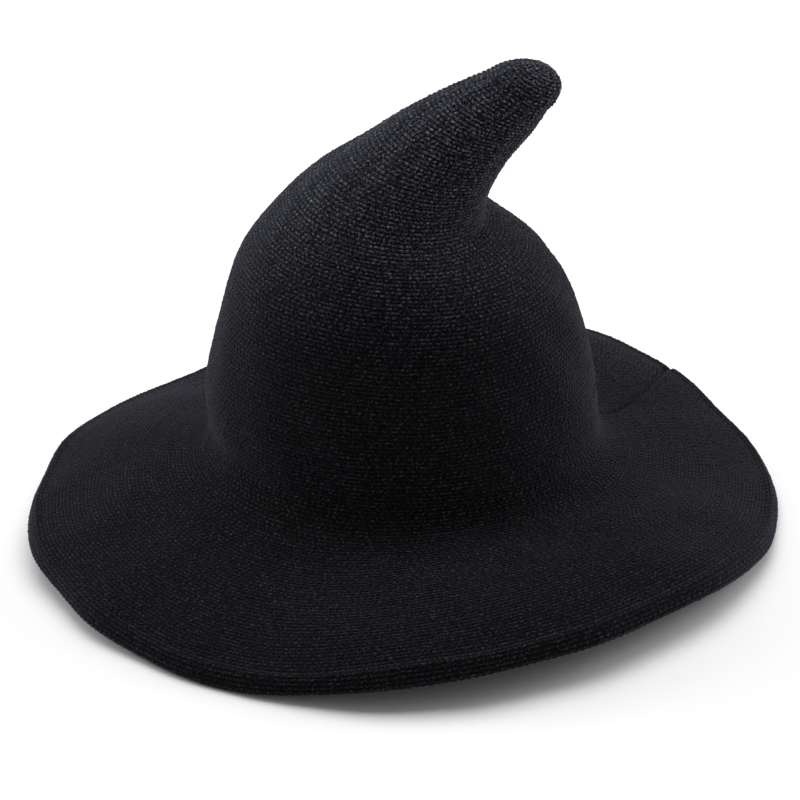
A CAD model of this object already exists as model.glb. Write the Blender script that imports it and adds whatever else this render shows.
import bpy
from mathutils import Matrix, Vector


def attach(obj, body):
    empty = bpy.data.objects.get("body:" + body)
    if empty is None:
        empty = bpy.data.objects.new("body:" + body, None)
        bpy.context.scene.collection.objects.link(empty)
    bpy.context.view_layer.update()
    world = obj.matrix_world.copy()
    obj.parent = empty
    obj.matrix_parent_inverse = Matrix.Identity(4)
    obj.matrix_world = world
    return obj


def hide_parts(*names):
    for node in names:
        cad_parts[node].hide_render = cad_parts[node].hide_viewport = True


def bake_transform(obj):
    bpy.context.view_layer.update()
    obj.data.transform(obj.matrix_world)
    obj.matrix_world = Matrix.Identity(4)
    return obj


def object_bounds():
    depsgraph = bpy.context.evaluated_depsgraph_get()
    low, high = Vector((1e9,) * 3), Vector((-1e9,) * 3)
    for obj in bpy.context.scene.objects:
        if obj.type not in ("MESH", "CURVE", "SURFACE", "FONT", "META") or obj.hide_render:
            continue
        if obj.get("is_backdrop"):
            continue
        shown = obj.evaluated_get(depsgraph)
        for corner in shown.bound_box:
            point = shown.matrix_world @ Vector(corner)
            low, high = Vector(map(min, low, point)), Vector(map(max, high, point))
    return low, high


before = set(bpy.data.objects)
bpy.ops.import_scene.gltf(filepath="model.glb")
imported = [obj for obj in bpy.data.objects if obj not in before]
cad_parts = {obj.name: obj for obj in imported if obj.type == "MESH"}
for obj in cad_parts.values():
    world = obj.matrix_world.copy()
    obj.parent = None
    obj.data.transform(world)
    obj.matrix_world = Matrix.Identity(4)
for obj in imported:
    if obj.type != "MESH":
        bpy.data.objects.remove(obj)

import math

import bpy
import numpy as np
from mathutils import Matrix, Quaternion, Vector

CAD_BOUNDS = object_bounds()

# Lengths below are in millimetres and angles in degrees, +Z up, +X the way the peak leans, and the camera
# looks along +Y. The hat is drawn round the middle of its head opening. Then it settles on three points of
# its rim, by two small turns, and CENTRE moves it into the frame of the CAD model.
MM = 0.001
SETTLE_SIDEWAYS = 0.73
SETTLE_BACK = 0.75
CENTRE = np.array([-0.6, -3.4, 2.6])
SEED = 7

# ---- camera ----------------------------------------------------------------------------------------------
CAMERA_ELEVATION = 27.35
CAMERA_AZIMUTH = 0.38
CAMERA_DISTANCE = 1600.0
CAMERA_TARGET = (0.5, -4.6, 90.4)
CAMERA_ROLL = 1.07
VIEW_WIDTH = 400.0  # width of the view at the target
SHIFT = (-0.0052, -0.0488)  # keeps the hat's whole outline in the frame

# ---- the rim ---------------------------------------------------------------------------------------------
RIM_RADIUS = 186.5
RIM_HEIGHT = 8.9
RIM_SLOPE = 26.0
# (count round the rim, size, angle of a crest)
RIM_HEIGHT_WAVES = (
    (1, 4.4, -8), (2, 3.8, 94), (3, 7.0, 66), (4, 1.1, 1), (5, 1.0, 34), (6, 1.3, -22), (7, 0.5, 6),
)
RIM_RADIUS_WAVES = (
    (1, 4.0, 104), (2, 4.2, 15), (3, 1.0, -5), (4, 1.0, 1), (5, 1.0, -7), (6, 0.6, 20), (7, 0.5, -13),
)

# The hem across the rim: (down the slope, out of the top face), from the rim's outermost point.
HEM_OUTSIDE = (
    (-10.5, 5.0), (-7.6, 5.9), (-5.6, 5.4), (-3.4, 3.8), (-1.1, 1.6), (0.0, -0.6), (-0.9, -2.4), (-4.0, -3.0),
    (-8.0, -2.2), (-11.5, -0.8),
)
HEM_INSIDE = ((-10.5, 2.0), (-7.5, 2.3), (-5.4, 2.2), (-4.3, 1.2), (-5.4, 0.2), (-7.5, 0.2), (-11.5, 0.6))
WIRE_PLACE = (-5.4, 1.2)
WIRE_RADIUS = 0.7
SLEEVE_RADIUS = 1.0
SLEEVE_LENGTH = 12.0
WIRE_STEPS = 240

# ---- brim, crown and peak --------------------------------------------------------------------------------
OPENING = (98.0, 88.0)  # half width and half depth of the head opening's outer face
BRIM_TOP = 56.0
CROWN_PULL = 26.0  # how far the brim keeps the crown's direction before it turns outward
RIM_PULL = 50.0  # how far it keeps the rim's slope before the turn
KNIT = 3.0  # thickness of the fabric
# Rings of the crown and the peak: (left x, left z), (right x, right z), half depth along Y. They tilt less
# than the peak does, as the rows of stitches do.
RINGS = (
    ((-98.0, 56.0), (98.0, 56.0), 88.0),
    ((-99.3, 79.0), (96.0, 78.0), 87.0),
    ((-93.5, 107.5), (90.4, 105.0), 84.0),
    ((-83.8, 142.4), (78.6, 135.3), 76.0),
    ((-71.3, 163.1), (63.5, 152.8), 66.0),
    ((-59.5, 177.0), (47.2, 164.0), 56.5),
    ((-52.0, 184.8), (40.4, 170.0), 49.5),
    ((-39.5, 195.5), (41.3, 179.8), 42.0),
    ((-22.5, 206.6), (45.0, 189.4), 35.0),
    ((-3.5, 220.3), (52.3, 202.0), 28.5),
    ((17.5, 232.4), (61.7, 213.6), 22.5),
    ((40.0, 243.0), (69.8, 225.7), 16.8),
)
NECK_RING = 6  # the ring where the peak starts
TIP_REACH = (14.9, 12.1)  # from the middle of the last ring to the end of the round tip

# ---- the knit --------------------------------------------------------------------------------------------
WALE = 4.2  # pitch of the rows of stitches that run round the hat
COURSE = 3.1  # length of a stitch
HEM_WALES = 6
BRIM_WALES = 26
ROWS_PER_WALE = 6  # mesh rows, on the outside
PURL_ROWS = 3  # mesh rows in a wale, on the inside
RIM_COLUMNS = 1400
CROWN_COLUMNS = 720
PEAK_COLUMNS = 380
SECTORS = 9  # parts of the turn between the lines where short rows turn
RELIEF = 0.95  # depth of the stitches
PURL_RELIEF = 0.6
LUMP = 0.7  # soft unevenness of the fabric

# ---- the closing seam ------------------------------------------------------------------------------------
SEAM_FOOT_ANGLE = 12.0
SEAM_RIM_ANGLE = 38.8
SEAM_BULGE = 1.8
SEAM_SHEAR = 2.0  # how fast the slant of the seam dies out round the brim

rng = np.random.default_rng(SEED)

# The rim's small unevenness: (count round the rim, size, angle of a crest).
RIM_WOBBLE = [(count, rng.uniform(0.1, 0.3), rng.uniform(0, 360)) for count in range(8, 24, 2)]


# ---- curves ----------------------------------------------------------------------------------------------
def spline(values, at):
    """A natural cubic spline through values at 0, 1, 2 and so on, read at the places in at."""
    values = np.asarray(values, float)
    count = len(values)
    system = np.eye(count)
    right = np.zeros_like(values)
    for i in range(1, count - 1):
        system[i, i - 1 : i + 2] = (1, 4, 1)
        right[i] = 6 * (values[i - 1] - 2 * values[i] + values[i + 1])
    bend = np.linalg.solve(system, right)
    at = np.asarray(at, float)
    low = np.clip(np.floor(at).astype(int), 0, count - 2)
    part = (at - low).reshape(at.shape + (1,) * (values.ndim - 1))
    rest = 1 - part
    straight = rest * values[low] + part * values[low + 1]
    return straight + ((rest**3 - rest) * bend[low] + (part**3 - part) * bend[low + 1]) / 6


def smooth(x):
    x = np.clip(x, 0, 1)
    return x * x * (3 - 2 * x)


def wave(waves, angle):
    return sum(size * np.cos(count * (angle - math.radians(crest))) for count, size, crest in waves)


def unit(vectors):
    return vectors / np.maximum(np.linalg.norm(vectors, axis=-1, keepdims=True), 1e-9)


def stack(x, y, z):
    return np.stack(np.broadcast_arrays(x, y, z), axis=-1)


# ---- the rim ---------------------------------------------------------------------------------------------
def rim_frame(angle):
    """The rim's outermost point, the direction down its slope and the direction out of its top face."""
    wobble = wave(RIM_WOBBLE, angle)
    radius = RIM_RADIUS + wave(RIM_RADIUS_WAVES, angle) + wobble
    height = RIM_HEIGHT + wave(RIM_HEIGHT_WAVES, angle) + 0.4 * wobble
    slope = math.radians(RIM_SLOPE)
    outward = stack(np.cos(angle), np.sin(angle), 0 * angle)
    up = np.array([0, 0, 1.0])
    edge = outward * radius[..., None] + up * height[..., None]
    down = outward * math.cos(slope) - up * math.sin(slope)
    out = outward * math.sin(slope) + up * math.cos(slope)
    return edge, down, out


def hem_place(angle, place):
    """The point at a place across the hem: place holds (down the slope, out of the top face)."""
    edge, down, out = rim_frame(angle)
    return edge + down * place[..., 0:1] + out * place[..., 1:2]


def hem_outside(share, angle):
    """share is 0 at the fabric's turned-in end and 1 where the brim starts."""
    return hem_place(angle, spline(HEM_OUTSIDE, (1 - share) * (len(HEM_OUTSIDE) - 1)))


def brim_outside(share, angle):
    """share is 0 at the hem and 1 at the crown."""
    part = (1 - share)[..., None]
    rest = 1 - part
    foot = stack(OPENING[0] * np.cos(angle), OPENING[1] * np.sin(angle), BRIM_TOP + 0 * angle)
    outward = stack(np.cos(angle), np.sin(angle), 0 * angle)
    _, down, _ = rim_frame(angle)
    end = hem_place(angle, np.broadcast_to(HEM_OUTSIDE[0], angle.shape + (2,)))
    near_foot = foot + outward - np.array([0, 0, CROWN_PULL])
    near_end = end - down * RIM_PULL
    return rest**3 * foot + 3 * rest**2 * part * near_foot + 3 * rest * part**2 * near_end + part**3 * end


# ---- the crown and the peak ------------------------------------------------------------------------------
LAST_RING = len(RINGS) - 1


def ring_sizes(station):
    """Left point, right point and half depth of the ring at a station, as a smooth run through RINGS."""
    flat = [(left[0], left[1], right[0], right[1], depth) for left, right, depth in RINGS]
    found = spline(flat, np.minimum(station, LAST_RING))
    return found[..., 0:2], found[..., 2:4], found[..., 4]


def body_outside(station, angle):
    """A point of the crown or the peak. Above the last ring the station goes on over the round tip."""
    left, right, depth = ring_sizes(station)
    middle, half = (left + right) / 2, (right - left) / 2
    over = np.clip(station - LAST_RING, 0, 1) * math.pi / 2
    shrink, reach = np.cos(over), np.sin(over)
    x = middle[..., 0] + shrink * half[..., 0] * np.cos(angle) + reach * TIP_REACH[0]
    z = middle[..., 1] + shrink * half[..., 1] * np.cos(angle) + reach * TIP_REACH[1]
    return stack(x, shrink * depth * np.sin(angle), z)


# ---- one fabric from the hem to the tip ------------------------------------------------------------------
def even_shares(surface, first, last, steps=400):
    """Stations from first to last at even distances over the fabric, as (share of the way, station) lists."""
    stations = np.linspace(first, last, steps + 1)
    angles = np.linspace(0, 2 * math.pi, 24, endpoint=False)
    points = surface(stations[:, None] + 0 * angles[None, :], angles[None, :] + 0 * stations[:, None])
    lengths = np.linalg.norm(np.diff(points, axis=0), axis=-1).mean(axis=1)
    total = np.concatenate([[0], np.cumsum(lengths)])
    return total / total[-1], stations, total[-1]


TIP_END = LAST_RING + 0.985
BRIM_SHARES = even_shares(brim_outside, 0, 1)
HEM_SHARES = even_shares(hem_outside, 0, 1)
CROWN_SHARES = even_shares(body_outside, 0, NECK_RING)
PEAK_SHARES = even_shares(body_outside, NECK_RING, TIP_END)
CROWN_WALES = round(CROWN_SHARES[2] / WALE)
PEAK_WALES = round(PEAK_SHARES[2] / WALE)

BRIM_START = HEM_WALES
CROWN_START = BRIM_START + BRIM_WALES
PEAK_START = CROWN_START + CROWN_WALES
TIP_WALE = PEAK_START + PEAK_WALES
ZONES = (
    (0, HEM_WALES, hem_outside, HEM_SHARES),
    (BRIM_START, BRIM_WALES, brim_outside, BRIM_SHARES),
    (CROWN_START, CROWN_WALES, body_outside, CROWN_SHARES),
    (PEAK_START, PEAK_WALES, body_outside, PEAK_SHARES),
)


def seam_angle(wale):
    """The closing seam's angle in radians: it slants from the crown's foot back to the rim."""
    rise = np.clip((CROWN_START - wale) / BRIM_WALES, 0, 1)
    angle = SEAM_FOOT_ANGLE + (SEAM_RIM_ANGLE - SEAM_FOOT_ANGLE) * rise + SEAM_BULGE * np.sin(math.pi * rise)
    return np.radians(angle)


def turn_angle(wale, turn):
    """The angle of a share of the turn, counted from the seam. The seam's slant dies out away from it."""
    near_seam = (0.5 + 0.5 * np.cos(2 * math.pi * turn)) ** SEAM_SHEAR
    foot = math.radians(SEAM_FOOT_ANGLE)
    return foot + 2 * math.pi * turn + (seam_angle(wale) - foot) * near_seam


def fabric(wale, turn):
    """The fabric's outer face at a wale and a share of the turn, both arrays of one shape."""
    angle = turn_angle(wale, turn)
    points = np.zeros(wale.shape + (3,))
    for start, count, surface, (shares, stations, _) in ZONES:
        inside = (wale >= start) & (wale <= start + count)
        station = np.interp((wale[inside] - start) / count, shares, stations)
        points[inside] = surface(station, angle[inside])
    return points


def face_normals(wale, turn):
    """Directions out of the fabric's outer face."""
    step_wale, step_turn = 0.02, 0.0005
    high, low = np.minimum(wale + step_wale, TIP_WALE), np.maximum(wale - step_wale, 0)
    up = fabric(high, turn) - fabric(low, turn)
    along = fabric(wale, turn + step_turn) - fabric(wale, turn - step_turn)
    return unit(np.cross(along, up))


def ring_length(wale):
    """The distance round the hat at each wale of a list."""
    turns = np.linspace(0, 1, 97)
    points = fabric(wale[:, None] + 0 * turns[None, :], turns[None, :] + 0 * wale[:, None])
    return np.linalg.norm(np.diff(points, axis=1), axis=-1).sum(axis=1)


# ---- the stitches ----------------------------------------------------------------------------------------
SECTOR_SHIFTS = np.concatenate([[0], rng.uniform(-0.2, 0.2, SECTORS - 1), [0]])
SECTOR_EDGES = (np.arange(SECTORS + 1) + SECTOR_SHIFTS) / SECTORS
WALE_SHIFTS = rng.uniform(-0.14, 0.14, TIP_WALE + 2)
WALE_HEIGHTS = rng.uniform(0.82, 1.0, TIP_WALE + 2)
STITCHES_KEPT = 512
STITCH_SIZES = rng.uniform(0.45, 1.0, (2, TIP_WALE + 2, STITCHES_KEPT))
LUMP_WAVES = [(rng.integers(2, 16), rng.uniform(0.05, 0.5), rng.uniform(0, 6.28)) for _ in range(14)]


def lumps(wale, turn):
    """Soft unevenness, from -1 to 1."""
    total = sum(np.sin(2 * math.pi * count * turn + pace * wale + phase) for count, pace, phase in LUMP_WAVES)
    return total / len(LUMP_WAVES) * 1.8


def course_place(wale, turn, length):
    """Stitches counted from the middle of each sector, so that they line up from rim to tip inside it."""
    wander = turn + 0.004 * np.sin(1.7 * wale + 9 * turn)
    sector = np.clip(np.searchsorted(SECTOR_EDGES, wander % 1, side="right") - 1, 0, SECTORS - 1)
    middle = (SECTOR_EDGES[sector] + SECTOR_EDGES[sector + 1]) / 2
    return (wander % 1 - middle) * length / COURSE


def stitch_height(wale, turn, length):
    """Height of the outer face's stitches, from 0 to 1. Each wale is two rows of legs that meet in a V."""
    index = np.floor(wale + 1e-6).astype(int)
    place = wale - index
    leg = (place >= 0.5 - 1e-6).astype(int)
    across = np.clip(place * 2 - leg, 0, 1)
    slant = np.where(leg == 0, 0.5, -0.5) * (across - 0.5)
    course = course_place(wale, turn, length) + WALE_SHIFTS[index]
    dash = (0.5 + 0.5 * np.cos(2 * math.pi * (course + slant))) ** 0.7
    ridge = np.clip(np.sin(math.pi * across), 0, 1) ** 0.6
    size = STITCH_SIZES[leg, index, np.round(course + slant).astype(int) % STITCHES_KEPT]
    return ridge * (0.3 + 0.7 * dash * size) * WALE_HEIGHTS[index]


def purl_height(wale, turn, length):
    """Height of the inner face's stitches: rounded bumps in rows, every second bump set over."""
    index = np.floor(wale + 1e-6).astype(int)
    place = wale - index
    course = course_place(wale, turn, length) * 0.5 + 0.5 * (index % 2)
    return np.clip(np.sin(math.pi * place), 0, 1) ** 0.7 * (0.6 + 0.4 * np.cos(2 * math.pi * course))


def seam_height(wale, turn, length):
    """The closing seam in millimetres: a raised front side, a sunk back side and a groove between them."""
    behind = (turn % 1) * length
    before = (1 - turn % 1) * length
    raised = 0.6 * np.exp(-((before / 5) ** 2))
    sunk = 0.8 * np.exp(-((behind / 6) ** 2))
    groove = 1.8 * np.exp(-((behind / 2.0) ** 2)) + 2.4 * np.exp(-((before / 1.2) ** 2))
    return (raised - sunk - groove) * (0.3 + 0.7 * seam_strength(wale))


def seam_strength(wale):
    """1 where the closing seam shows most, on the brim, and less at the rim and above the brim."""
    return smooth((CROWN_START - 2 - wale) / 4) * (0.3 + 0.7 * smooth((wale - 3) / 5))


def seam_shade(wale, turn, length):
    """How much of the stitches is lost in the seam's groove, from 0 to 1."""
    beside = np.minimum(turn % 1, 1 - turn % 1) * length
    return np.exp(-((beside / 2.0) ** 2)) * seam_strength(wale)


def grid_places(first, last, rows_per_wale, columns):
    """Wales and turns of a grid, with one more row past each end, and the distance round the hat."""
    count = (last - first) * rows_per_wale
    rows = np.clip(first + np.arange(-1, count + 2) / rows_per_wale, 0, TIP_WALE)
    turns = np.arange(columns) / columns
    wale, turn = np.meshgrid(rows, turns, indexing="ij")
    return wale, turn, ring_length(rows)[:, None] + 0 * turn


def grid_normals(points):
    """Directions out of a grid's inner rows, its first and last rows being there only for this."""
    along = np.roll(points, -1, axis=1) - np.roll(points, 1, axis=1)
    return unit(np.cross(along[1:-1], points[2:] - points[:-2]))


def outer_grid(first, last, columns):
    """The outer face from wale first to wale last: its points, their normals and the stitch heights."""
    wale, turn, length = grid_places(first, last, ROWS_PER_WALE, columns)
    height = stitch_height(wale, turn, length)
    depth = RELIEF * (height - 0.7) * smooth((TIP_WALE - wale) / 2) + seam_height(wale, turn, length)
    depth = depth + LUMP * lumps(wale, turn) * smooth((TIP_WALE - wale) / 6)
    points = fabric(wale, turn) + face_normals(wale, turn) * depth[..., None]
    height = height * (1 - seam_shade(wale, turn, length))
    return points[1:-1], grid_normals(points), height[1:-1]


def inner_grid(first, last, columns):
    """The inner face, a fabric's thickness below the outer one."""
    wale, turn, length = grid_places(first, last, PURL_ROWS, columns)
    height = purl_height(wale, turn, length)
    depth = KNIT + PURL_RELIEF * (height - 0.5)
    depth = depth - LUMP * lumps(wale, turn) * smooth((TIP_WALE - wale) / 6)
    points = fabric(wale, turn) - face_normals(wale, turn) * depth[..., None]
    return points[1:-1], -grid_normals(points), height[1:-1]


# ---- meshes ----------------------------------------------------------------------------------------------
def settling_turn():
    """The two small turns by which the hat settles on its rim, as one matrix."""
    sideways = Matrix.Rotation(math.radians(SETTLE_SIDEWAYS), 3, "Y")
    back = Matrix.Rotation(math.radians(SETTLE_BACK), 3, "X")
    return sideways @ back


SETTLED = np.array(settling_turn())


def make_object(name, points, faces, material, heights=None):
    mesh = bpy.data.meshes.new(name)
    placed = np.asarray(points) @ SETTLED.T + CENTRE
    mesh.from_pydata((placed * MM).tolist(), [], faces)
    mesh.shade_smooth()
    mesh.materials.append(material)
    if heights is not None:
        layer = mesh.attributes.new("stitch_height", "FLOAT", "POINT")
        layer.data.foreach_set("value", np.asarray(heights, np.float32))
    mesh.validate()
    made = bpy.data.objects.new(name, mesh)
    bpy.context.scene.collection.objects.link(made)
    return made


def strip_faces(rows, columns, offset=0, flip=False):
    """Four-sided faces of a grid that closes on itself round the turn."""
    row, column = np.meshgrid(np.arange(rows - 1), np.arange(columns), indexing="ij")
    after = (column + 1) % columns
    low, high = row * columns, (row + 1) * columns
    corners = [low + column, low + after, high + after, high + column]
    faces = np.stack(corners, axis=-1).reshape(-1, 4) + offset
    return (faces[:, ::-1] if flip else faces).tolist()


def shell_object(name, outer_face, inner_face, material, closed_top=False):
    """A fabric shell: an outer and an inner grid, joined along their first and last rows. A face is (points,
    normals, stitch heights). The normals are given, so that the stitches run on from piece to piece."""
    outer, outer_normals, outer_heights = outer_face
    inner, inner_normals, inner_heights = inner_face
    columns = outer.shape[1]
    points = np.concatenate([outer.reshape(-1, 3), inner.reshape(-1, 3)])
    start = outer.shape[0] * columns
    faces = strip_faces(outer.shape[0], columns) + strip_faces(inner.shape[0], columns, start, flip=True)
    ends = [(0, start, True)]
    if closed_top:
        faces.append([(outer.shape[0] - 1) * columns + i for i in range(columns)])
        faces.append([start + (inner.shape[0] - 1) * columns + i for i in reversed(range(columns))])
    else:
        ends.append(((outer.shape[0] - 1) * columns, start + (inner.shape[0] - 1) * columns, False))
    for outer_row, inner_row, flip in ends:
        for i in range(columns):
            after = (i + 1) % columns
            face = [outer_row + i, outer_row + after, inner_row + after, inner_row + i]
            faces.append(face[::-1] if flip else face)
    heights = np.concatenate([outer_heights.ravel(), inner_heights.ravel()])
    made = make_object(name, points, faces, material, heights)
    normals = np.concatenate([outer_normals.reshape(-1, 3), inner_normals.reshape(-1, 3)]) @ SETTLED.T
    made.data.normals_split_custom_set_from_vertices(normals.tolist())
    return made


def tube_mesh(path, radius, sides, closed=False):
    """Points and faces of a round tube along a path of points."""
    path = np.asarray(path, float)
    ahead = np.roll(path, -1, axis=0) - np.roll(path, 1, axis=0)
    if not closed:
        ahead[0], ahead[-1] = path[1] - path[0], path[-1] - path[-2]
    ahead = unit(ahead)
    helper = np.where(np.abs(ahead[:, 2:3]) > 0.9, [[1.0, 0, 0]], [[0, 0, 1.0]])
    side = unit(np.cross(ahead, helper))
    up = np.cross(side, ahead)
    turns = 2 * math.pi * np.arange(sides) / sides
    radii = np.broadcast_to(radius, len(path))[:, None, None]
    ring = side[:, None] * np.cos(turns)[None, :, None] + up[:, None] * np.sin(turns)[None, :, None]
    points = path[:, None] + ring * radii
    count = len(path)
    faces = []
    for i in range(count if closed else count - 1):
        after = (i + 1) % count
        for k in range(sides):
            right = (k + 1) % sides
            faces.append([i * sides + k, i * sides + right, after * sides + right, after * sides + k])
    if not closed:
        faces.append(list(reversed(range(sides))))
        faces.append([(count - 1) * sides + k for k in range(sides)])
    return points.reshape(-1, 3), faces


def tubes_object(name, paths, radius, sides, material, closed=False):
    """One object made of many tubes."""
    points, faces, offset = [], [], 0
    for path in paths:
        more, its_faces = tube_mesh(path, radius, sides, closed)
        points.append(more)
        faces += [[corner + offset for corner in face] for face in its_faces]
        offset += len(more)
    return make_object(name, np.concatenate(points), faces, material)


# ---- materials -------------------------------------------------------------------------------------------
def new_material(name, roughness, metallic=0.0):
    material = bpy.data.materials.new(name)
    material.use_nodes = True
    shader = material.node_tree.nodes["Principled BSDF"]
    shader.inputs["Roughness"].default_value = roughness
    shader.inputs["Metallic"].default_value = metallic
    return material, material.node_tree, shader


def noise(tree, scale, detail=3.0):
    place = tree.nodes.new("ShaderNodeTexCoord")
    texture = tree.nodes.new("ShaderNodeTexNoise")
    texture.inputs["Scale"].default_value = scale
    texture.inputs["Detail"].default_value = detail
    tree.links.new(place.outputs["Object"], texture.inputs["Vector"])
    return texture.outputs["Fac"]


def ramp(tree, value, stops):
    made = tree.nodes.new("ShaderNodeValToRGB")
    elements = made.color_ramp.elements
    elements[0].position, elements[0].color = stops[0][0], (*stops[0][1], 1)
    elements[1].position, elements[1].color = stops[-1][0], (*stops[-1][1], 1)
    for position, color in stops[1:-1]:
        elements.new(position).color = (*color, 1)
    tree.links.new(value, made.inputs["Fac"])
    return made.outputs["Color"]


def multiply(tree, first, second):
    made = tree.nodes.new("ShaderNodeMix")
    made.data_type = "RGBA"
    made.blend_type = "MULTIPLY"
    made.inputs["Factor"].default_value = 1.0
    tree.links.new(first, made.inputs["A"])
    tree.links.new(second, made.inputs["B"])
    return made.outputs["Result"]


def bump(tree, shader, value, distance, strength=1.0):
    made = tree.nodes.new("ShaderNodeBump")
    made.inputs["Strength"].default_value = strength
    made.inputs["Distance"].default_value = distance
    tree.links.new(value, made.inputs["Height"])
    tree.links.new(made.outputs["Normal"], shader.inputs["Normal"])


def by_height(tree, lowest, highest, first, last):
    """A value that goes from first to last between two heights in metres."""
    place = tree.nodes.new("ShaderNodeTexCoord")
    split = tree.nodes.new("ShaderNodeSeparateXYZ")
    made = tree.nodes.new("ShaderNodeMapRange")
    tree.links.new(place.outputs["Object"], split.inputs["Vector"])
    tree.links.new(split.outputs["Z"], made.inputs["Value"])
    made.inputs["From Min"].default_value = lowest
    made.inputs["From Max"].default_value = highest
    made.inputs["To Min"].default_value = first
    made.inputs["To Max"].default_value = last
    return made.outputs["Result"]


PALER_FROM, PALER_TO = 0.13, 0.22  # heights in metres between which the wool gets paler
PALER_TIP = 5.0  # how much lighter its colour is above them


def wool_material():
    """Bluish black wool: darker between the stitches, with lighter fibres in the yarn, and paler towards the
    tip."""
    material, tree, shader = new_material("knit_wool", 0.92)
    height = tree.nodes.new("ShaderNodeAttribute")
    height.attribute_name = "stitch_height"
    depth = ramp(
        tree,
        height.outputs["Fac"],
        [(0.05, (0.1, 0.1, 0.1)), (0.45, (0.5, 0.5, 0.5)), (0.85, (1, 1, 1))],
    )
    heather = ramp(
        tree,
        noise(tree, 1000, 2.0),
        [(0.36, (0.0011, 0.0012, 0.0018)), (0.48, (0.0058, 0.0060, 0.0085)), (0.58, (0.020, 0.021, 0.026)),
         (0.7, (0.058, 0.060, 0.070))],
    )
    yarn = multiply(tree, heather, depth)
    paler = by_height(tree, PALER_FROM, PALER_TO, 1.0, PALER_TIP)
    tree.links.new(multiply(tree, yarn, paler), shader.inputs["Base Color"])
    shader.inputs["Sheen Weight"].default_value = 0.26
    shader.inputs["Sheen Roughness"].default_value = 0.33
    shader.inputs["Sheen Tint"].default_value = (0.56, 0.60, 0.76, 1)
    shader.inputs["Specular IOR Level"].default_value = 0.1
    bump(tree, shader, noise(tree, 1500, 3.0), 0.0005, 0.8)
    return material


def steel_material():
    material, tree, shader = new_material("spring_steel", 0.3, 1.0)
    shade = ramp(tree, noise(tree, 300), [(0.3, (0.35, 0.35, 0.36)), (0.7, (0.5, 0.5, 0.5))])
    tree.links.new(shade, shader.inputs["Base Color"])
    bump(tree, shader, noise(tree, 900), 0.0001, 0.4)
    return material


def crimp_material():
    material, tree, shader = new_material("crimp_metal", 0.35, 1.0)
    shade = ramp(tree, noise(tree, 400), [(0.3, (0.45, 0.32, 0.13)), (0.7, (0.62, 0.46, 0.2))])
    tree.links.new(shade, shader.inputs["Base Color"])
    bump(tree, shader, noise(tree, 1200), 0.0001, 0.5)
    return material


def thread_material():
    material, tree, shader = new_material("sewing_thread", 0.7)
    shade = ramp(tree, noise(tree, 2500), [(0.35, (0.008, 0.008, 0.010)), (0.7, (0.03, 0.03, 0.035))])
    tree.links.new(shade, shader.inputs["Base Color"])
    shader.inputs["Sheen Weight"].default_value = 0.2
    bump(tree, shader, noise(tree, 4000), 0.0001, 0.6)
    return material


def ribbon_material():
    material, tree, shader = new_material("grosgrain_ribbon", 0.55)
    shade = ramp(tree, noise(tree, 1800), [(0.35, (0.010, 0.010, 0.012)), (0.7, (0.022, 0.022, 0.026))])
    tree.links.new(shade, shader.inputs["Base Color"])
    shader.inputs["Sheen Weight"].default_value = 0.15
    bump(tree, shader, noise(tree, 3500), 0.0001, 0.5)
    return material


def label_material():
    material, tree, shader = new_material("label_ribbon", 0.5)
    shade = ramp(tree, noise(tree, 1500), [(0.35, (0.62, 0.61, 0.58)), (0.7, (0.74, 0.73, 0.70))])
    tree.links.new(shade, shader.inputs["Base Color"])
    bump(tree, shader, noise(tree, 3500), 0.0001, 0.5)
    return material


def floor_material():
    material, tree, shader = new_material("studio_floor", 0.8)
    shade = ramp(tree, noise(tree, 3), [(0.3, (0.93, 0.93, 0.93)), (0.7, (0.95, 0.95, 0.95))])
    tree.links.new(shade, shader.inputs["Base Color"])
    shader.inputs["Specular IOR Level"].default_value = 0.1
    return material


# ---- pieces ----------------------------------------------------------------------------------------------
def finish_piece(made, body, slot, *replaced):
    """A piece that goes with one body of the CAD model and stands for its nodes."""
    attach(made, body)
    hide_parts(*replaced)
    return made


def bending_piece(made, slot, *replaced):
    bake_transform(made)
    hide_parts(*replaced)
    return made


def make_hem(wool):
    turns = np.arange(RIM_COLUMNS) / RIM_COLUMNS
    share = np.linspace(0, 1, 2 * len(HEM_INSIDE) - 1)
    wale, turn = np.meshgrid(HEM_WALES * share, turns, indexing="ij")
    place = spline(HEM_INSIDE, (1 - share) * (len(HEM_INSIDE) - 1))
    points = hem_place(turn_angle(wale, turn), np.repeat(place[::-1, None], RIM_COLUMNS, axis=1))
    normals = grid_normals(points[[0, *range(len(share)), -1]])
    inner = (points, -normals, 0.3 + 0 * turn)
    made = shell_object("hem_knit", outer_grid(0, HEM_WALES, RIM_COLUMNS), inner, wool)
    return finish_piece(made, "hat", "knit_wool", "brim_hem")


def make_brim(wool):
    outer = outer_grid(BRIM_START, CROWN_START, RIM_COLUMNS)
    made = shell_object("brim_knit", outer, inner_grid(BRIM_START, CROWN_START, RIM_COLUMNS), wool)
    return finish_piece(made, "hat", "knit_wool", "brim")


def make_crown(wool):
    outer = outer_grid(CROWN_START, PEAK_START, CROWN_COLUMNS)
    made = shell_object("crown_knit", outer, inner_grid(CROWN_START, PEAK_START, CROWN_COLUMNS), wool)
    return bending_piece(made, "knit_wool", "crown")


def make_peak(wool):
    outer = outer_grid(PEAK_START, TIP_WALE, PEAK_COLUMNS)
    inner = inner_grid(PEAK_START, TIP_WALE - 1, PEAK_COLUMNS)
    made = shell_object("peak_knit", outer, inner, wool, closed_top=True)
    return bending_piece(made, "knit_wool", "peak")


def inside_line(wales, turns, depth):
    """Points under the fabric's outer face."""
    wales, turns = np.asarray(wales, float), np.asarray(turns, float)
    return fabric(wales, turns) - face_normals(wales, turns) * depth


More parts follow.
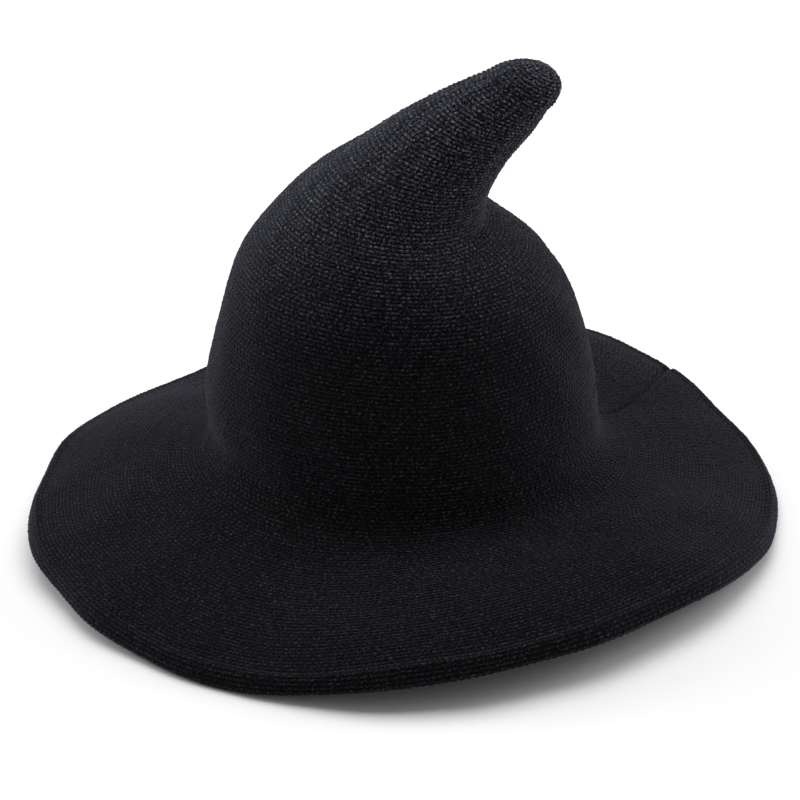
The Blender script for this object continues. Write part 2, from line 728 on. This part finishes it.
def seam_ridge(name, first, last, wool):
    """The two selvedges sewn together inside the hat: a soft ridge with overcast stitches across it."""
    steps = np.arange(first, last, 0.12)
    swell = 1.35 + 0.18 * np.sin(2 * math.pi * steps)
    line = inside_line(steps, 0 * steps, KNIT + 1.1)
    points, faces = tube_mesh(line, swell, 12)
    return make_object(name, points, faces, wool, np.full(len(points), 0.6))


def make_seams(wool):
    brim = seam_ridge("brim_seam_ridge", BRIM_START + 1.6, CROWN_START + 0.4, wool)
    finish_piece(brim, "hat", "knit_wool", "brim_seam")
    crown = seam_ridge("crown_seam_ridge", CROWN_START + 6.6, PEAK_START - 0.1, wool)
    bending_piece(crown, "knit_wool", "crown_seam")
    peak = seam_ridge("peak_seam_ridge", PEAK_START, TIP_WALE - 5, wool)
    bending_piece(peak, "knit_wool", "peak_seam")


def make_wire(steel):
    """The spring-steel ring in the hem, its ends meeting at the seam."""
    start = math.radians(SEAM_RIM_ANGLE)
    angles = start + np.linspace(0.0015, 2 * math.pi - 0.0015, WIRE_STEPS)
    path = hem_place(angles, np.broadcast_to(WIRE_PLACE, angles.shape + (2,)))
    made = tubes_object("brim_wire_ring", [path], WIRE_RADIUS, 12, steel)
    return finish_piece(made, "hat", "spring_steel", "brim_wire")


def make_sleeve(metal):
    """The crimped tube over the wire's ends: two pinched waists and flared mouths."""
    half_turn = SLEEVE_LENGTH / 2 / RIM_RADIUS
    share = np.linspace(-1, 1, 41)
    angles = math.radians(SEAM_RIM_ANGLE) + half_turn * share
    path = hem_place(angles, np.broadcast_to(WIRE_PLACE, angles.shape + (2,)))
    waist = 0.14 * np.exp(-(((np.abs(share) - 0.5) / 0.15) ** 2))
    mouth = 0.08 * smooth((np.abs(share) - 0.85) / 0.15)
    made = tubes_object("wire_crimp_sleeve", [path], SLEEVE_RADIUS - waist + mouth, 20, metal)
    return finish_piece(made, "hat", "crimp_metal", "wire_sleeve")


def make_hem_stitches(thread):
    """Separate slip stitches that hold the turned-in edge against the underside of the brim."""
    length, pitch = 2 * math.pi * RIM_RADIUS, 7.0
    count = round(length / pitch)
    arc = np.linspace(0, 1, 9)
    paths = []
    for i in range(count):
        angle = 2 * math.pi * (i + 0.62 * arc) / count
        bulge = np.sin(math.pi * arc)
        place = np.stack([-11.0 - 1.6 * arc, -1.0 - 0.5 * bulge + 2.2 * arc], axis=-1)
        paths.append(hem_place(angle, place))
    made = tubes_object("hem_slip_stitches", paths, 0.38, 6, thread)
    return finish_piece(made, "hat", "sewing_thread", "hem_stitching")


# ---- the sweatband ---------------------------------------------------------------------------------------
BAND_BOTTOM, BAND_TOP, BAND_THICKNESS = 58.0, 82.0, 0.8
BAND_INSET = KNIT + 0.6
BAND_RIB = 1.5  # pitch of the ribbon's ribs
BAND_COLUMNS = 1480
BAND_STEPS = 17


def opening_point(angle, height, inset):
    """A point inside the head opening, at a depth under the crown's outer face."""
    station = np.interp(height, [RINGS[0][0][1], RINGS[1][0][1]], [0.0, 1.0]) + 0 * angle
    left, right, depth = ring_sizes(station)
    middle, half = (left + right) / 2, (right - left) / 2
    x = middle[..., 0] + (half[..., 0] - inset) * np.cos(angle)
    return stack(x, (depth - inset) * np.sin(angle), height + 0 * angle)


def make_sweatband(ribbon):
    """A ribbed ribbon inside the head opening, its ribs across its width and its edges thicker."""
    angles = 2 * math.pi * np.arange(BAND_COLUMNS) / BAND_COLUMNS
    ribs = round(2 * math.pi * 93 / BAND_RIB)
    rows = []
    for face in (0, 1):
        shares = np.linspace(0, 1, BAND_STEPS)
        for share in shares if face == 0 else shares[::-1]:
            height = BAND_BOTTOM + (BAND_TOP - BAND_BOTTOM) * share
            edge = 0.12 * smooth((abs(share - 0.5) - 0.44) / 0.05)
            rib = 0.16 * (0.5 + 0.5 * np.cos(ribs * angles)) * (1 if 0 < share < 1 else 0)
            thick = BAND_THICKNESS / 2 + rib - 0.1 + edge
            inset = BAND_INSET + BAND_THICKNESS / 2 + (thick if face == 1 else -thick)
            rows.append(opening_point(angles, height, inset))
    grid = np.array(rows)
    faces = strip_faces(len(rows), BAND_COLUMNS)
    last = (len(rows) - 1) * BAND_COLUMNS
    for i in range(BAND_COLUMNS):
        after = (i + 1) % BAND_COLUMNS
        faces.append([last + i, last + after, after, i])
    made = make_object("sweatband_ribbon", grid.reshape(-1, 3), faces, ribbon)
    finish_piece(made, "hat", "grosgrain_ribbon", "sweatband")
    return made


def make_band_stitches(thread):
    """Running stitches along the ribbon's lower edge, on its inner face."""
    count, arc = 132, np.linspace(0, 1, 9)
    paths = []
    for i in range(count):
        angle = 2 * math.pi * (i + 0.6 * arc) / count
        inset = BAND_INSET + BAND_THICKNESS + 0.1 + 0.35 * np.sin(math.pi * arc)
        paths.append(opening_point(angle, BAND_BOTTOM + 2.5, inset))
    made = tubes_object("sweatband_stitches", paths, 0.32, 6, thread)
    return finish_piece(made, "hat", "sewing_thread", "sweatband_stitching")


def make_label(fabric_material, thread):
    """A small blank woven label at the back, sewn along its two ends."""
    width, height, rise = 24.0, 14.0, 1.5
    columns, rows = 60, 36
    half_turn = width / 2 / 95
    across, up = np.meshgrid(np.linspace(-1, 1, columns), np.linspace(0, 1, rows), indexing="ij")
    weave = 0.05 * np.cos(math.pi * np.arange(columns))[:, None] * np.cos(math.pi * np.arange(rows))[None, :]
    curl = 0.35 * np.maximum(0, up - 0.75) ** 2 * 16
    inset = BAND_INSET + BAND_THICKNESS + 0.3 + weave + curl
    angle = math.pi / 2 + half_turn * across
    front = opening_point(angle, BAND_TOP + rise - height + height * up, inset + 0.45)
    back = opening_point(angle, BAND_TOP + rise - height + height * up, inset)
    points = np.concatenate([front.reshape(-1, 3), back.reshape(-1, 3)])
    count = columns * rows
    faces = []
    for i in range(columns - 1):
        for k in range(rows - 1):
            corner = i * rows + k
            quad = [corner, corner + 1, corner + rows + 1, corner + rows]
            faces.append(quad[::-1])
            faces.append([c + count for c in quad])
    border = [i * rows for i in range(columns)]
    border += [(columns - 1) * rows + k for k in range(1, rows)]
    border += [i * rows + rows - 1 for i in reversed(range(columns - 1))]
    border += list(reversed(range(1, rows - 1)))
    for first, second in zip(border, border[1:] + border[:1]):
        faces.append([first, second, second + count, first + count])
    made = make_object("care_label_ribbon", points, faces, fabric_material)
    finish_piece(made, "hat", "label_ribbon", "care_label")
    arc = np.linspace(0, 1, 7)
    paths = []
    for side in (-0.93, 0.93):
        for k in range(4):
            place = BAND_TOP + rise - height + 1.2 + 3.0 * k + 1.9 * arc
            lift = BAND_INSET + BAND_THICKNESS + 0.8 + 0.3 * np.sin(math.pi * arc)
            turned = math.pi / 2 + half_turn * side + 0 * arc
            points = [opening_point(turned[j], place[j], lift[j]) for j in range(len(arc))]
            paths.append(np.array(points))
    stitches = tubes_object("care_label_stitches", paths, 0.22, 6, thread)
    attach(stitches, "hat")
    return made


# ---- studio ----------------------------------------------------------------------------------------------
def look_at(thing, target):
    way = Vector(target) - thing.location
    thing.rotation_mode = "QUATERNION"
    thing.rotation_quaternion = way.to_track_quat("-Z", "Y")


def make_camera():
    elevation, azimuth = math.radians(CAMERA_ELEVATION), math.radians(CAMERA_AZIMUTH)
    data = bpy.data.cameras.new("camera")
    data.sensor_width = 36.0
    data.lens = 36.0 * CAMERA_DISTANCE / VIEW_WIDTH
    data.shift_x, data.shift_y = SHIFT
    data.clip_start, data.clip_end = 0.05, 50
    camera = bpy.data.objects.new("camera", data)
    bpy.context.scene.collection.objects.link(camera)
    target = Vector(CAMERA_TARGET) * MM
    level = math.cos(elevation)
    back = Vector((math.sin(azimuth) * level, -math.cos(azimuth) * level, math.sin(elevation)))
    camera.location = target + back * CAMERA_DISTANCE * MM
    look_at(camera, target)
    roll = Quaternion((0, 0, 1), math.radians(-CAMERA_ROLL))
    camera.rotation_quaternion = camera.rotation_quaternion @ roll
    bpy.context.scene.camera = camera


def area_light(name, place, size, power, target=(0, 0, 0.08)):
    data = bpy.data.lights.new(name, "AREA")
    data.shape = "RECTANGLE"
    data.size, data.size_y = size
    data.energy = power
    made = bpy.data.objects.new(name, data)
    bpy.context.scene.collection.objects.link(made)
    made.location = place
    look_at(made, target)


def make_studio():
    bpy.ops.mesh.primitive_plane_add(size=14)
    floor = bpy.context.object
    floor.name = "studio_floor"
    floor.data.materials.append(floor_material())
    floor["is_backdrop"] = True
    area_light("top_light", (0.0, 0.5, 1.9), (2.2, 1.6), 32)
    area_light("left_light", (-1.7, 0.6, 0.8), (1.2, 1.2), 17)
    area_light("right_light", (1.7, 0.5, 0.8), (1.2, 1.2), 15)
    world = bpy.data.worlds.new("studio")
    world.use_nodes = True
    world.node_tree.nodes["Background"].inputs["Color"].default_value = (1, 1, 1, 1)
    world.node_tree.nodes["Background"].inputs["Strength"].default_value = 0.3
    bpy.context.scene.world = world
    bpy.context.scene.view_settings.view_transform = "Standard"


# ---- the whole scene -------------------------------------------------------------------------------------
make_camera()
make_studio()
wool = wool_material()
thread = thread_material()
make_hem(wool)
make_brim(wool)
make_crown(wool)
make_peak(wool)
make_seams(wool)
make_wire(steel_material())
make_sleeve(crimp_material())
make_hem_stitches(thread)
sweatband = make_sweatband(ribbon_material())
make_band_stitches(thread)
make_label(label_material(), thread)


def corners(bounds):
    return [list(corner) for corner in bounds]


{"cad": corners(CAD_BOUNDS), "visual": corners(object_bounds())}
